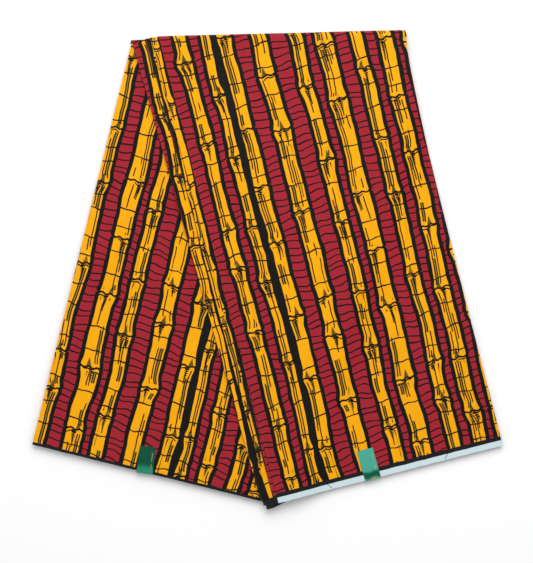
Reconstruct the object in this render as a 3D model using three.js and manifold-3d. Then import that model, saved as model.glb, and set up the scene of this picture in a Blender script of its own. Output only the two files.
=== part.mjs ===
// Six yards of wax print cotton, pressed into a concertina of twelve inch panels and folded once more across
// its middle, at a slant. The two ends spread into an upside-down V that lies flat on a table: the back leg
// runs down to the left, and the front leg crosses over it and runs down to the right. Four fold edges of the
// front leg step out from under each other along its left side, like a fan that is nearly shut.
// Millimetres: +X to the right, +Y towards the slanted fold, +Z up, with the origin on the table under the
// middle of the outline.
import * as THREE from "three";
import { mergeVertices } from "three/addons/utils/BufferGeometryUtils.js";
import Module from "manifold-3d";

const manifold = await Module();
manifold.setup();

// The cloth. A pair is one folded panel: two layers, pressed together.
const PANEL_WIDTH = 304.8; // twelve inches: eighteen panels make the six yards
const PAIR = 1; // thickness of a pair
const GAP = 0.3; // air between two pairs
const EDGE_ROUND = 0.4; // how far the folded edge of a pair stands out
const SELVEDGE = { front: 7.2, back: 2 }; // bare woven edge past the printed border

// The slanted fold. Distances along it count from its left end.
const FOLD_TILT = 1.45; // degrees, its right end higher
const FOLD_LENGTH = 351.7;
const FOLD_SLANT = 15; // degrees from square across the cloth
const FOLD_FACETS = 5; // over its half turn

// The back leg: its left edge runs from BACK_START on the fold to the end of the printed border.
const BACK_LEAN = 13.9; // degrees to the left of straight down
const BACK_START = 0.2;
const BACK_LENGTH = 525.3;

// The front leg: its right edge runs from the end of the fold to the end of the printed border.
const FRONT_LEAN = 14.3; // degrees that its hem rises to the right
const RIGHT_LEAN = 13.2; // degrees to the right of straight down
const RIGHT_LENGTH = 529;
const RIGHT_BOW = 6.7; // how far that edge bows inwards, a quarter of the way down
const STEP_MARGIN = 30; // how far past the back leg the front leg stays level
const STEP_RUN = 50; // and the length over which it then slopes down to the table
const BAYS = { across: 10, down: 15 };
const CORNER = 15; // height of the corner bays at the hem

// The pairs whose fold edges show, from the lowest to the face. start is where the left edge meets the fold,
// end how far it is from the face's right edge at the hem, drop how far its left corner hangs below the
// face's hem, cut how much that corner is cut back, and side how far the right edge is held back.
const PLEATS = [
  { name: "pleat_1", start: 1.7, end: 316.4, drop: 5.4, cut: 4.6, side: 1.6 },
  { name: "pleat_2", start: 20.1, end: 306.8, drop: 4.2, cut: 0, side: 2.4 },
  { name: "pleat_3", start: 26.3, end: 300.6, drop: 2.8, cut: 0, side: 1 },
  { name: "front_face", start: 37, end: 295.5, drop: 0, cut: 0, side: 0 },
];
const HEM_TAPER = 0.2; // share of the drop that is left at the right edge
// The front leg's hidden pairs, from the lowest: how far their edges are held back.
const FRONT_HIDDEN = [
  { left: 3, side: 2.6, hem: 3 },
  { left: 1.8, side: 0.9, hem: 1.2 },
];
// The back leg's hidden pairs, from the highest.
const BACK_HIDDEN = [
  { side: 1.5, hem: 2 },
  { side: 3, hem: 1 },
  { side: 1.2, hem: 2.6 },
  { side: 2.4, hem: 1.4 },
  { side: 0.9, hem: 2.2 },
  { side: 2.8, hem: 0.8 },
];
// What joins hidden pairs: how far it stays behind their edges, and how far it runs into them.
const SPACER = { inset: 5, bite: 0.25 };

// The green foil labels: along is their middle's distance along the hem from the leg's outer corner, reach
// their length up from the hem, and turn their skew in degrees. Their lower end stands out past the hem and
// turns down.
const LABEL = { width: 20.6, thickness: 0.5, corner: 1.5, overhang: 1, lip: 1.5 };
const LABELS = {
  front: { along: 171.1, reach: 38.5, turn: 1.5 },
  back: { along: 147.9, reach: 33.5, turn: 6.4 },
};

const COLOUR = { yellow: 0xefa21a, red: 0xa8233a, black: 0x1c1b19, green: 0x1f7f62 };

const PITCH = PAIR + GAP;
const BACK_TOP = BACK_HIDDEN.length * PITCH - GAP; // top of the back leg's hidden pairs
const BACK_FACE = BACK_TOP + GAP; // underside of the back leg's top pair
const STEP_HEIGHT = BACK_FACE + PITCH; // what the front leg climbs over
const FRONT_DEPTH = (FRONT_HIDDEN.length + PLEATS.length) * PITCH - GAP; // of all the front leg's pairs

const slantRise = Math.tan(THREE.MathUtils.degToRad(FOLD_SLANT));
const foldSpan = PANEL_WIDTH / Math.cos(THREE.MathUtils.degToRad(FOLD_SLANT)); // of one panel, on the slant

function heading(degrees) {
  const angle = THREE.MathUtils.degToRad(degrees);
  return new THREE.Vector2(Math.cos(angle), Math.sin(angle));
}

const alongFold = heading(FOLD_TILT);
const beyondFold = heading(FOLD_TILT + 90);
const backAcross = heading(-BACK_LEAN);
const backDown = heading(-BACK_LEAN - 90);
const frontAcross = heading(FRONT_LEAN);
const frontDown = heading(FRONT_LEAN - 90);

const foldPoint = (distance) => alongFold.clone().multiplyScalar(distance);
const backCorner = foldPoint(BACK_START).addScaledVector(backDown, BACK_LENGTH);
const frontCorner = foldPoint(FOLD_LENGTH).addScaledVector(heading(RIGHT_LEAN - 90), RIGHT_LENGTH);

// A point by its distance along the hem from the leg's outer corner, and how far it lies past the border.
function backHem(along, past = SELVEDGE.back) {
  return backCorner.clone().addScaledVector(backAcross, along).addScaledVector(backDown, past);
}

function frontHem(along, past = SELVEDGE.front) {
  return frontCorner.clone().addScaledVector(frontAcross, -along).addScaledVector(frontDown, past);
}

// Pairs are numbered by level on both legs, from the back leg's top pair outwards. Each wraps round the
// slanted fold at its own radius, and slides along it on the way.
const wrapRadius = (level) => level * PITCH;
const wrapSlide = (level, turn = Math.PI) => turn * slantRise * wrapRadius(level);

// Where the left edge of a back pair meets the fold.
function backStart(level) {
  const pleat = PLEATS[level - FRONT_HIDDEN.length - 1];
  return Math.max(BACK_START, pleat ? pleat.start - wrapSlide(level) : 0);
}

// The height that the back leg lifts the front leg to, at a point of the table.
const backRight = foldPoint(backStart(BACK_HIDDEN.length) + foldSpan);
const awayFromBack = (() => {
  const down = backHem(PANEL_WIDTH).sub(backRight).normalize();
  return new THREE.Vector2(-down.y, down.x);
})();

function lift(point) {
  const beside = Math.max(0, point.clone().sub(backRight).dot(awayFromBack));
  const below = Math.max(0, point.clone().sub(backCorner).dot(backDown));
  const past = Math.hypot(beside, below) - STEP_MARGIN;
  return STEP_HEIGHT * (1 - THREE.MathUtils.smoothstep(past, 0, STEP_RUN));
}

const lifted = (point) => new THREE.Vector3(point.x, point.y, lift(point));

// Points on the edges of the front leg, a share of the way from the fold to the hem.
function rightEdge(share) {
  const bow = RIGHT_BOW * Math.sin(Math.PI * Math.sqrt(share));
  return foldPoint(FOLD_LENGTH).lerp(frontHem(0), share).addScaledVector(frontAcross, -bow);
}

const leftEdge = ({ start, end }, share) => foldPoint(start).lerp(frontHem(end), share);

// One grid serves every pair of the front leg, so that the pairs stay parallel: a column on each edge that
// shows, then even bays across the face. z holds the lift.
const shares = Array.from({ length: BAYS.down }, (_, row) => row / BAYS.down);
shares.push(1 - CORNER / RIGHT_LENGTH, 1);
const leg = shares.map((share) => {
  const face = leftEdge(PLEATS.at(-1), share);
  const across = (bay) => face.clone().lerp(rightEdge(share), (bay + 1) / BAYS.across);
  const bays = Array.from({ length: BAYS.across }, (_, bay) => across(bay));
  return [...PLEATS.map((pleat) => leftEdge(pleat, share)), ...bays].map(lifted);
});

const movedTowards = (from, to, distance) => from.clone().lerp(to, distance / from.distanceTo(to));

// The grid from column first on, held back at its left and right edges and at its hem.
function heldBack(first, { left, side, hem = 0 }) {
  const rows = leg.map((row) => {
    const own = row.slice(first);
    own[0] = movedTowards(own[0], own[1], left);
    own.push(movedTowards(own.pop(), own.at(-1), side));
    return own;
  });
  const above = rows.at(-2);
  rows.push(rows.pop().map((point, column) => movedTowards(point, above[column], hem)));
  return rows;
}

// The rows of a pleat: the grid from its own edge on, and the strip that hangs below the face's hem.
function pleatRows({ drop, cut, side }, index) {
  const rows = heldBack(index, { left: EDGE_ROUND, side: side + EDGE_ROUND });
  const hem = rows.at(-1);
  hem[0] = movedTowards(hem[0], hem[1], cut);
  if (drop === 0) return rows;
  const right = hem.at(-1);
  const width = hem[0].distanceTo(right);
  const strip = hem.map((point) => {
    const plan = new THREE.Vector2(point.x, point.y).addScaledVector(frontDown, SELVEDGE.front);
    const own = drop * THREE.MathUtils.lerp(HEM_TAPER, 1, point.distanceTo(right) / width);
    return point.clone().lerp(lifted(plan), own / SELVEDGE.front);
  });
  return [...rows, strip];
}

// The inner and outer points of a pair on the given rows: round the slanted fold from below, then down the
// leg.
function skins(rows, level, thickness) {
  const depth = (level - 1) * PITCH;
  const wrapped = (point, turn) => {
    const radius = (point.z - BACK_TOP) / 2 + depth;
    const plan = new THREE.Vector2(point.x, point.y).addScaledVector(alongFold, -wrapSlide(level, turn));
    return [radius, radius + thickness].map((r) => {
      const out = plan.clone().addScaledVector(beyondFold, r * Math.sin(turn));
      return new THREE.Vector3(out.x, out.y, (point.z + BACK_TOP) / 2 + r * Math.cos(turn));
    });
  };
  const raised = ({ x, y, z }) => [depth, depth + thickness].map((up) => new THREE.Vector3(x, y, z + up));
  const turns = Array.from({ length: FOLD_FACETS }, (_, facet) => Math.PI * (1 - facet / FOLD_FACETS));
  const fold = turns.map((turn) => rows[0].map((point) => wrapped(point, turn)));
  return [...fold, ...rows.map((row) => row.map(raised))];
}

// A closed sheet between inner and outer points, its two long edges pointed.
function sheetGeometry(sheet) {
  const corners = [];
  const quad = (a, b, c, d) => corners.push(a, b, c, a, c, d);
  const nose = (row, column, beside) => {
    const middle = row[column][0].clone().lerp(row[column][1], 0.5);
    const inner = row[beside][0].clone().lerp(row[beside][1], 0.5);
    return middle.clone().add(middle.clone().sub(inner).setLength(EDGE_ROUND));
  };
  const last = sheet[0].length - 1;
  // Once round a row: the left nose, the outer points, the right nose, and the inner points back.
  const loops = sheet.map((row) => [
    nose(row, 0, 1),
    ...row.map((pair) => pair[1]),
    nose(row, last, last - 1),
    ...row.map((pair) => pair[0]).reverse(),
  ]);
  const around = loops[0].length;
  for (let i = 0; i + 1 < loops.length; i += 1) {
    for (let j = 0; j < around; j += 1) {
      const k = (j + 1) % around;
      const [here, next] = [loops[i], loops[i + 1]];
      // Inner and outer faces split on the same diagonal, so that pairs that nest stay parallel.
      if (j > last + 1) quad(next[j], next[k], here[k], here[j]);
      else quad(here[j], next[j], next[k], here[k]);
    }
  }
  const cap = (loop, opens) => {
    const triangle = (a, b, c) => (opens ? corners.push(a, b, c) : corners.push(a, c, b));
    triangle(loop[0], loop[1], loop.at(-1));
    for (let j = 1; j <= last; j += 1) {
      triangle(loop[j], loop[j + 1], loop.at(-j - 1));
      triangle(loop[j], loop.at(-j - 1), loop.at(-j));
    }
    triangle(loop[last + 1], loop[last + 2], loop[last + 3]);
  };
  cap(loops[0], true);
  cap(loops.at(-1), false);
  return new THREE.BufferGeometry().setFromPoints(corners);
}

// A flat plate on an outline of plan points, from z = bottom up, its edges bevelled.
function plateGeometry(outline, bottom, thickness, bevel) {
  const plate = new THREE.ExtrudeGeometry(new THREE.Shape(outline), {
    depth: thickness - 2 * bevel,
    bevelThickness: bevel,
    bevelSize: bevel,
    bevelOffset: -bevel,
    bevelSegments: 1,
  });
  return plate.translate(0, 0, bottom + bevel);
}

function solidOf(geometry) {
  const bare = geometry.index ? geometry.toNonIndexed() : geometry.clone();
  bare.deleteAttribute("normal");
  bare.deleteAttribute("uv");
  const merged = mergeVertices(bare, 1e-3);
  const mesh = new manifold.Mesh({
    numProp: 3,
    vertProperties: merged.attributes.position.array,
    triVerts: new Uint32Array(merged.index.array),
  });
  return new manifold.Manifold(mesh);
}

function joined(geometries) {
  const mesh = geometries.map(solidOf).reduce((all, next) => all.add(next)).getMesh();
  const geometry = new THREE.BufferGeometry();
  geometry.setAttribute("position", new THREE.BufferAttribute(mesh.vertProperties, 3));
  geometry.setIndex(new THREE.BufferAttribute(mesh.triVerts, 1));
  geometry.computeVertexNormals();
  return geometry;
}

const pleatGeometry = (pleat, index) =>
  sheetGeometry(skins(pleatRows(pleat, index), FRONT_HIDDEN.length + 1 + index, PAIR));

// A leg's hidden pairs are one solid: the pairs, and narrower spacers that leave its edges layered.
function frontStackGeometry() {
  const pair = (insets, index) => sheetGeometry(skins(heldBack(0, insets), index + 1, PAIR));
  const narrow = heldBack(0, { left: SPACER.inset, side: SPACER.inset, hem: SPACER.inset });
  const spacer = (_, index) => {
    const level = index + 2 - (GAP + SPACER.bite) / PITCH;
    return sheetGeometry(skins(narrow, level, GAP + 2 * SPACER.bite));
  };
  return joined([...FRONT_HIDDEN.map(pair), ...FRONT_HIDDEN.slice(1).map(spacer)]);
}

function backOutline(level, { side, hem }) {
  const start = backStart(level) + side;
  const atFold = (distance) => foldPoint(distance).addScaledVector(beyondFold, -GAP - hem);
  return [
    atFold(start),
    backHem(side, SELVEDGE.back - hem),
    backHem(PANEL_WIDTH - side, SELVEDGE.back - hem),
    atFold(start + foldSpan - 2 * side),
  ];
}

function backStackGeometry() {
  const pair = (insets, index) => {
    const bottom = BACK_TOP - index * PITCH - PAIR;
    return plateGeometry(backOutline(index + 1, insets), bottom, PAIR, EDGE_ROUND);
  };
  const inner = { side: 2 * SPACER.inset, hem: 2 * SPACER.inset };
  const spacer = (_, index) => {
    const bottom = BACK_TOP - (index + 1) * PITCH - SPACER.bite;
    return plateGeometry(backOutline(index + 2, inner), bottom, GAP + 2 * SPACER.bite, GAP / 3);
  };
  return joined([...BACK_HIDDEN.map(pair), ...BACK_HIDDEN.slice(1).map(spacer)]);
}

function backFaceGeometry() {
  const outline = [foldPoint(BACK_START), backHem(0), backHem(PANEL_WIDTH), foldPoint(BACK_START + foldSpan)];
  return plateGeometry(outline, BACK_FACE, PAIR, EDGE_ROUND);
}

// A label stands on the hem, the line y = 0, and lies on z = 0. It leans by its turn, and its lower end runs
// past the hem and turns down as a lip.
function labelGeometry({ reach, turn }) {
  const { width, thickness, corner, overhang, lip } = LABEL;
  const skew = THREE.MathUtils.degToRad(turn);
  const foot = -overhang;
  const top = new THREE.Shape();
  top.absarc(width / 2 - corner, reach - corner, corner, 0, Math.PI / 2);
  top.absarc(corner - width / 2, reach - corner, corner, Math.PI / 2, Math.PI);
  const footX = (side) => (side * width) / 2 / Math.cos(skew) - foot * Math.tan(skew);
  const footPoint = (side) => new THREE.Vector2(footX(side), foot);
  const turned = top.getPoints(3).map((point) => point.rotateAround(new THREE.Vector2(), skew));
  const plate = plateGeometry([footPoint(-1), footPoint(1), ...turned], 0, thickness, thickness / 5);
  const fold = new THREE.BoxGeometry(width - 0.4, thickness - 0.1, lip);
  fold.translate(-foot * Math.tan(skew), foot + thickness / 2, thickness * 0.6 - lip / 2);
  return joined([plate, fold]);
}

function label(name, size, foot, lean, height) {
  const mesh = piece(name, labelGeometry(size), COLOUR.green, 0.35);
  mesh.position.set(foot.x, foot.y, height + GAP);
  mesh.rotation.z = THREE.MathUtils.degToRad(lean);
  return mesh;
}

function piece(name, geometry, color, roughness = 0.85) {
  const material = new THREE.MeshStandardMaterial({ color, roughness, metalness: 0 });
  const mesh = new THREE.Mesh(geometry, material);
  mesh.name = name;
  return mesh;
}

const cloth = new THREE.Group();
cloth.add(
  piece("back_stack", backStackGeometry(), COLOUR.red),
  piece("back_face", backFaceGeometry(), COLOUR.yellow),
  piece("front_stack", frontStackGeometry(), COLOUR.red),
  ...PLEATS.map((pleat, index) => {
    const shade = [COLOUR.black, COLOUR.yellow, COLOUR.red, COLOUR.yellow][index];
    return piece(pleat.name, pleatGeometry(pleat, index), shade);
  }),
  label("label_back", LABELS.back, backHem(LABELS.back.along), -BACK_LEAN, BACK_FACE + PAIR),
  label("label_front", LABELS.front, frontHem(LABELS.front.along), FRONT_LEAN, FRONT_DEPTH),
);

const middle = new THREE.Box3().setFromObject(cloth).getCenter(new THREE.Vector3());
cloth.position.set(-middle.x, -middle.y, 0);

export default cloth;
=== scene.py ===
"""Six yards of wax print cotton, folded into twelve inch panels and once more at a slant, lying flat."""

import math
from types import SimpleNamespace

import bpy
import numpy as np
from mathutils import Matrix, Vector


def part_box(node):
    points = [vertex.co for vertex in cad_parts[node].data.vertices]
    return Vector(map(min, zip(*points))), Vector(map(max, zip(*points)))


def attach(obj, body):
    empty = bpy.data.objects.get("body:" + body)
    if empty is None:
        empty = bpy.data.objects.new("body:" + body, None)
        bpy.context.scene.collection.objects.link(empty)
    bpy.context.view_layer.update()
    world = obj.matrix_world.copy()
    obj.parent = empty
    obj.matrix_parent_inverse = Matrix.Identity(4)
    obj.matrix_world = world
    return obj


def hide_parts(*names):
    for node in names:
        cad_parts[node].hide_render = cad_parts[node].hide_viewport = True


bl_info = {
    "name": "Folded Wax Print Fabric",
    "version": (1, 0, 0),
    "blender": (4, 5, 0),
    "location": "3D View > Sidebar > Wax Print",
    "description": "Builds folded wax print cotton on its packed frame",
    "category": "Object",
}

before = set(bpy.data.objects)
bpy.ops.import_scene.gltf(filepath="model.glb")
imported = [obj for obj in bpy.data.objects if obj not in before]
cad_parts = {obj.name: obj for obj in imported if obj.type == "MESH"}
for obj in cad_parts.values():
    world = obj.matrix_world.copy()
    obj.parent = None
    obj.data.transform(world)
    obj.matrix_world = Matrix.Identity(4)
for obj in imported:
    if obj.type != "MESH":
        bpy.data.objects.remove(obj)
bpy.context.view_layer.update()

MM = 0.001

# The cloth and its folds, in millimetres and degrees. A pair is one folded panel: two pressed layers.
PANEL_WIDTH = 304.8
PAIR = 1.0
GAP = 0.3
WALL = 0.36
PITCH = PAIR + GAP
SELVEDGE_FRONT = 7.2
SELVEDGE_BACK = 2.0

# The black border at the hems.
FACE_BORDER = 5.4
PLEAT_BORDER = 12.0
BACK_BORDER = 3.6
HIDDEN_BORDER = 16.0

FOLD_TILT = 1.45
FOLD_LENGTH = 351.7
FOLD_SLANT = 15.0
BACK_LEAN = 13.9
BACK_START = 0.2
BACK_LENGTH = 525.3
FRONT_LEAN = 14.3
RIGHT_LEAN = 13.2
RIGHT_LENGTH = 529.0
RIGHT_BOW = 6.7
STEP_MARGIN = 30.0
STEP_RUN = 50.0

# The front leg's pairs that show: where the left edge meets the fold, its distance from the face's right
# corner at the hem, how far the left corner hangs below the face's hem, how much of that corner is cut back,
# how far the right edge is held back, where in the print the left edge starts at the hem, and how far the
# print moves to the right by each millimetre up.
FRONT_PAIRS = {
    "pleat_1": dict(start=1.7, end=316.4, drop=5.4, cut=4.6, side=1.6, shift=55.8, skew=0.04),
    "pleat_2": dict(start=20.1, end=306.8, drop=4.2, cut=0.0, side=2.4, shift=235.3, skew=0.018),
    "pleat_3": dict(start=26.3, end=300.6, drop=2.8, cut=0.0, side=1.0, shift=312.8, skew=0.0217),
    "front_face": dict(start=37.0, end=295.5, drop=0.0, cut=0.0, side=0.0, shift=-6.0, skew=0.0),
}
PLEAT_TUCK = 0.8  # how far a pleat's hem stays behind the face's
CORNER_FROM, CORNER_TO = 0.9, 1.0  # where along its hem a pleat's corner starts and ends to hang
HANG_ROWS = 3

# The hidden pairs, from the lowest up in the front leg and from the top down in the back one: how far the
# left edge (left), the right edge or both (side) and the hem are held back.
FRONT_HIDDEN = [
    dict(start=1.7, end=316.4, left=3.0, side=2.6, hem=3.0),
    dict(start=1.7, end=316.4, left=1.8, side=0.9, hem=1.2),
]
BACK_HIDDEN = [
    dict(side=1.5, hem=2.0),
    dict(side=3.0, hem=1.0),
    dict(side=1.2, hem=2.6),
    dict(side=2.4, hem=1.4),
    dict(side=0.9, hem=2.2),
    dict(side=2.8, hem=0.8),
]
BACK_TOP = len(BACK_HIDDEN) * PITCH - GAP
BACK_FACE = BACK_TOP + GAP
STEP_HEIGHT = BACK_FACE + PITCH
FRONT_LEVELS = len(FRONT_HIDDEN) + len(FRONT_PAIRS)
SLANT_RISE = math.tan(math.radians(FOLD_SLANT))
SLANT_COSINE = math.cos(math.radians(FOLD_SLANT))
FOLD_SPAN = PANEL_WIDTH / SLANT_COSINE

# Where the print starts, in millimetres.
HIDDEN_SHIFT = 215.0
BACK_SHIFT = -62.0


def heading(degrees):
    angle = math.radians(degrees)
    return np.array([math.cos(angle), math.sin(angle)])


ALONG_FOLD = heading(FOLD_TILT)
BEYOND_FOLD = heading(FOLD_TILT + 90)
BACK_ACROSS = heading(-BACK_LEAN)
BACK_DOWN = heading(-BACK_LEAN - 90)
FRONT_ACROSS = heading(FRONT_LEAN)
FRONT_DOWN = heading(FRONT_LEAN - 90)


def fold_origin():
    """The fold's left end in the frame's plan, from the back face's lower corners."""
    corner = ALONG_FOLD * BACK_START + BACK_DOWN * BACK_LENGTH
    outer = corner + BACK_DOWN * SELVEDGE_BACK
    inner = outer + BACK_ACROSS * PANEL_WIDTH
    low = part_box("back_face")[0]
    return np.array([low.x / MM - outer[0], low.y / MM - inner[1]])


ORIGIN = fold_origin()


def fold_point(distance):
    return ORIGIN + np.multiply.outer(distance, ALONG_FOLD)


BACK_CORNER = fold_point(BACK_START) + BACK_DOWN * BACK_LENGTH
FRONT_CORNER = fold_point(FOLD_LENGTH) + heading(RIGHT_LEAN - 90) * RIGHT_LENGTH


def back_hem(along, past=SELVEDGE_BACK):
    return BACK_CORNER + BACK_ACROSS * along + BACK_DOWN * past


def front_hem(along, past=SELVEDGE_FRONT):
    return FRONT_CORNER - FRONT_ACROSS * along + FRONT_DOWN * past


def wrap_slide(level, turn=math.pi):
    """How far a slanted turn round the fold moves a pair along it."""
    return turn * SLANT_RISE * level * PITCH


def back_start(level):
    """Where the left edge of a back pair meets the fold."""
    starts = [pair["start"] for pair in FRONT_PAIRS.values()]
    place = level - len(FRONT_HIDDEN) - 1
    start = starts[place] - wrap_slide(level) if 0 <= place < len(starts) else 0
    return max(BACK_START, start)


def smoothstep(value, low, high):
    share = np.clip((value - low) / (high - low), 0, 1)
    return share * share * (3 - 2 * share)


BACK_RIGHT = fold_point(back_start(len(BACK_HIDDEN)) + FOLD_SPAN)
BACK_RIGHT_RUN = back_hem(PANEL_WIDTH) - BACK_RIGHT
AWAY_FROM_BACK = np.array([-BACK_RIGHT_RUN[1], BACK_RIGHT_RUN[0]]) / np.linalg.norm(BACK_RIGHT_RUN)


def lift(plan):
    """How high the back leg lifts the front leg at points of the table."""
    beside = np.maximum(0, (plan - BACK_RIGHT) @ AWAY_FROM_BACK)
    below = np.maximum(0, (plan - BACK_CORNER) @ BACK_DOWN)
    past = np.hypot(beside, below) - STEP_MARGIN
    return STEP_HEIGHT * (1 - smoothstep(past, 0, STEP_RUN))


# Creases, listed one by one: both ends in plan, half width and height. A trough has a negative height.
CREASES = {
    "front": [
        (-40, 210, 60, -60, 26, 0.75),
        (60, 250, 150, 30, 34, -0.55),
        (120, 60, 205, -170, 30, 0.65),
        (10, -40, 60, -230, 24, -0.5),
        (190, 200, 240, 20, 28, 0.6),
        (-110, 240, -30, 30, 22, 0.5),
    ],
    "back": [
        (-190, 190, -255, -90, 26, 0.5),
        (-170, 60, -215, -180, 30, -0.4),
        (-240, 40, -275, -150, 18, 0.45),
    ],
}
UNEVEN, UNEVEN_WAVES = 0.35, 7.3  # how much a crease's height varies along it, and how often

# Soft ripples: radians a millimetre to the right and up, phase and height.
RIPPLES = [(0.031, 0.012, 0.4, 0.16), (-0.014, 0.043, 2.1, 0.12), (0.058, 0.036, 4.4, 0.07)]

# Where creases fade out: from and to these distances from the hems, and from the front leg's left edge.
CALM_FRONT_HEM = (18, 70)
CALM_BACK_HEM = (20, 80)
CALM_BESIDE_FRONT = (6, 45)


def relief(plan, leg):
    """Height of the soft creases and ripples of a leg's top pair at points of the table."""
    height = np.zeros(plan.shape[:-1])
    for x0, y0, x1, y1, width, rise in CREASES[leg]:
        a, b = np.array([x0, y0]), np.array([x1, y1])
        run = b - a
        along = ((plan - a) @ run) / (run @ run)
        nearest = a + np.clip(along, 0, 1)[..., None] * run
        off = np.linalg.norm(plan - nearest, axis=-1)
        uneven = 1 + UNEVEN * np.sin(along * UNEVEN_WAVES + x0)
        height += rise * uneven * np.exp(-((off / width) ** 2))
    for across, up, phase, rise in RIPPLES:
        height += rise * np.sin(plan[..., 0] * across + plan[..., 1] * up + phase)
    return height


# The unevenness of a woven edge: radians a millimetre, share and phase of each wave.
FRAY = [(1.31, 1.0, 0.0), (2.9, 0.7, 1.0), (0.37, 0.5, 2.0)]
FRAY_HEIGHT = 0.11
FRAY_STEP_FRONT, FRAY_STEP_BACK = 37, 29  # how far the unevenness moves on from pair to pair


def frayed(along):
    return FRAY_HEIGHT * sum(share * np.sin(along * turns + phase) for turns, share, phase in FRAY)


def mesh_object(name, points, faces, cloth_uv, fold_share):
    """A mesh in metres with its UV map "cloth" and its attribute "fold"."""
    mesh = bpy.data.meshes.new(name)
    mesh.vertices.add(len(points))
    mesh.vertices.foreach_set("co", (np.asarray(points) * MM).astype(np.float32).ravel())
    corners = np.asarray(faces, dtype=np.int32)
    mesh.loops.add(corners.size)
    mesh.loops.foreach_set("vertex_index", corners.ravel())
    mesh.polygons.add(len(corners))
    mesh.polygons.foreach_set("loop_start", np.arange(0, corners.size, 4, dtype=np.int32))
    mesh.update(calc_edges=True)
    mesh.validate()
    layer = mesh.uv_layers.new(name="cloth")
    layer.data.foreach_set("uv", (np.asarray(cloth_uv)[corners.ravel()] * MM).astype(np.float32).ravel())
    fold = mesh.attributes.new("fold", "FLOAT", "POINT")
    fold.data.foreach_set("value", np.asarray(fold_share, dtype=np.float32))
    piece = bpy.data.objects.new(name, mesh)
    bpy.context.scene.collection.objects.link(piece)
    return piece


NOSE_STEPS = 6
WRAP_STEPS = 16
FOLD_RUB = 3.0  # how far from a fold edge the cloth is rubbed
HEM_FROM = 0.975  # the share of a front pair's length where its hem starts to be held back


def section(columns, inset):
    """Once round a pressed pair, inset from its outside: share across, distance past that, and height."""
    radius = PAIR / 2 - inset
    share = np.linspace(0, 1, columns + 1)
    turns = np.linspace(0, math.pi, NOSE_STEPS + 1)[1:-1]
    nose_x, nose_z = radius * np.sin(turns), radius * np.cos(turns)
    shares = np.concatenate([share, np.ones_like(turns), share[::-1], np.zeros_like(turns)])
    past = np.concatenate([0 * share, nose_x, 0 * share, -nose_x])
    height = np.concatenate([0 * share + radius, nose_z, 0 * share - radius, -nose_z])
    return shares, past, height + PAIR / 2


def shell_faces(rows, around):
    """Quads of an outer and an inner tube of rows of points, joined at both ends."""
    row, ring = np.meshgrid(np.arange(rows - 1), np.arange(around), indexing="ij")
    beside = (ring + 1) % around
    here, there = row * around, (row + 1) * around
    outer = np.stack([here + ring, here + beside, there + beside, there + ring], axis=-1).reshape(-1, 4)
    inward = rows * around
    inner = outer[:, ::-1] + inward
    k = np.arange(around)
    n = (k + 1) % around
    first = np.stack([k, k + inward, n + inward, n], axis=-1)
    last = first[:, ::-1] + (rows - 1) * around
    return np.concatenate([outer, inner, first, last])


def pressed_pair(left, right, placed, columns, fit=None):
    """Points, faces, UVs and fold shares of one folded panel, open at both ends.

    left and right are its edges row by row, and placed gives the points and the V coordinate for plan points
    and heights. fit is the width that each row's U runs to."""
    across = right - left
    width = np.linalg.norm(across, axis=1)
    unit = across / width[:, None]
    scale = 1.0 if fit is None else (PANEL_WIDTH / fit)[:, None]
    tubes, uvs, folds = [], [], []
    for inset in (0.0, WALL):
        shares, past, height = section(columns, inset)
        along = PAIR / 2 + shares[None, :] * (width[:, None] - PAIR) + past[None, :]
        plan = left[:, None, :] + unit[:, None, :] * along[..., None]
        points, up = placed(plan, np.broadcast_to(height, along.shape))
        tubes.append(points.reshape(-1, 3))
        uvs.append(np.stack([along * scale, up], axis=-1).reshape(-1, 2))
        edge = np.minimum(along, width[:, None] - along)
        folds.append(np.clip(1 - edge / FOLD_RUB, 0, 1).reshape(-1))
    faces = shell_faces(*along.shape)
    return np.concatenate(tubes), faces, np.concatenate(uvs), np.concatenate(folds)


def joined(parts):
    """Several pairs as one, each two panels further along the print than the last."""
    points, faces, uvs, folds = zip(*parts)
    starts = np.cumsum([0, *map(len, points)])
    faces = [own + start for own, start in zip(faces, starts)]
    uvs = [own + [2 * PANEL_WIDTH * number, 0] for number, own in enumerate(uvs)]
    return tuple(np.concatenate(each) for each in (points, faces, uvs, folds))


def front_line(along_fold, along_hem, share):
    """Points of a straight line down the front leg, at shares of its length."""
    return fold_point(along_fold) * (1 - share)[:, None] + front_hem(along_hem) * share[:, None]


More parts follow.
